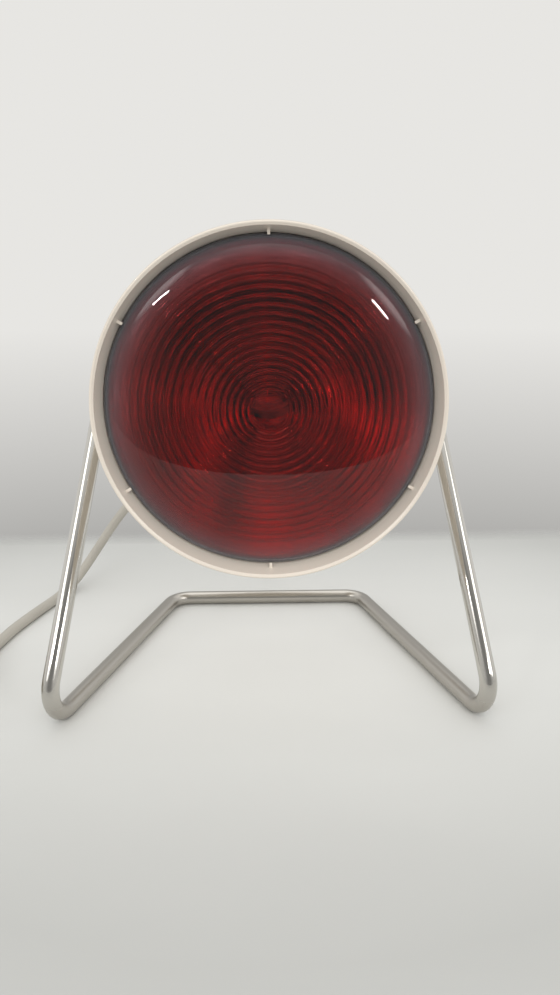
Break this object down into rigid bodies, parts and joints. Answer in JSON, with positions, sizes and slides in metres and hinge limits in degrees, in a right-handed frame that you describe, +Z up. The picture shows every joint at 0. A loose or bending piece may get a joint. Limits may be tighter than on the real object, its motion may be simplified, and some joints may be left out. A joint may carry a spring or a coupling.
{
  "type": "tabletop infrared heat lamp",
  "caption": "Tilting infrared heat lamp: red reflector bulb in a cream bell-shaped head on a bent-rod stand, with mains lead and flat two-pin plug.",
  "frame": {"origin": "on the table, below the middle of the lamp's bounding box without its lead", "axes": "+Z up, the lamp faces -Y, the pivot axis runs along X, +X is to the right seen from the front"},
  "size_m": [0.3511, 0.261, 0.218],
  "materials": {
    "nickel_rod": "bright nickel plating with fine drawing lines, slightly warm",
    "spring_steel": "spring steel, dull",
    "cream_enamel": "glossy cream enamel, slightly yellowed",
    "steel_screws": "zinc-plated steel",
    "bush_nylon": "natural nylon",
    "ruby_glass": "clear ruby-red glass",
    "silvered_glass": "glass silvered on the inside, in fine moulded rings",
    "cap_brass": "thin pressed brass",
    "black_glass": "black vitrified glass insulator",
    "clear_glass": "clear glass mount",
    "lead_wire": "nickel wire",
    "tungsten": "coiled tungsten wire",
    "porcelain": "glazed white porcelain",
    "zinc_plate": "zinc-plated sheet steel",
    "wire_brown": "brown wire insulation",
    "wire_blue": "blue wire insulation",
    "lead_pvc": "beige-white flexible PVC sheath",
    "relief_pvc": "beige-white soft PVC",
    "tie_black": "black hook-and-loop tie",
    "plug_pvc": "moulded beige-white PVC",
    "pin_nickel": "nickel-plated brass",
    "sleeve_black": "black insulating sleeve"
  },
  "bodies": {
    "stand": {"stand_rod": "nickel_rod", "pivot_clips": "spring_steel", "friction_washers": "spring_steel", "mains_cord": "lead_pvc", "cord_coil": "lead_pvc", "cord_tail": "lead_pvc", "cord_tie": "tie_black", "plug_body": "plug_pvc", "plug_boot": "plug_pvc", "plug_pins": "pin_nickel", "plug_pin_sleeves": "sleeve_black"},
    "head": {"front_ring": "cream_enamel", "housing_shell": "cream_enamel", "rear_cover": "cream_enamel", "cover_screws": "steel_screws", "pivot_bush_left": "bush_nylon", "pivot_bush_right": "bush_nylon", "bulb_face": "ruby_glass", "bulb_reflector": "silvered_glass", "bulb_cap": "cap_brass", "bulb_cap_insulator": "black_glass", "bulb_contact": "cap_brass", "bulb_stem": "clear_glass", "bulb_leads": "lead_wire", "filament_supports": "lead_wire", "bulb_filament": "tungsten", "lampholder_body": "porcelain", "lampholder_shell": "cap_brass", "lampholder_contact": "cap_brass", "lampholder_plate": "zinc_plate", "plate_screws": "steel_screws", "holder_screws": "steel_screws", "terminal_screws": "cap_brass", "wire_live": "wire_brown", "wire_neutral": "wire_blue", "cord_inner": "lead_pvc", "cord_clamp": "zinc_plate", "clamp_screws": "steel_screws", "strain_relief": "relief_pvc"}
  },
  "joints": [
    {"name": "head_tilt", "type": "hinge", "parent": "stand", "child": "head", "pos_m": [0, -0.00025, 0.1515], "axis": [1, 0, 0], "range_deg": [-45, 45], "deforming": ["mains_cord"]}
  ]
}
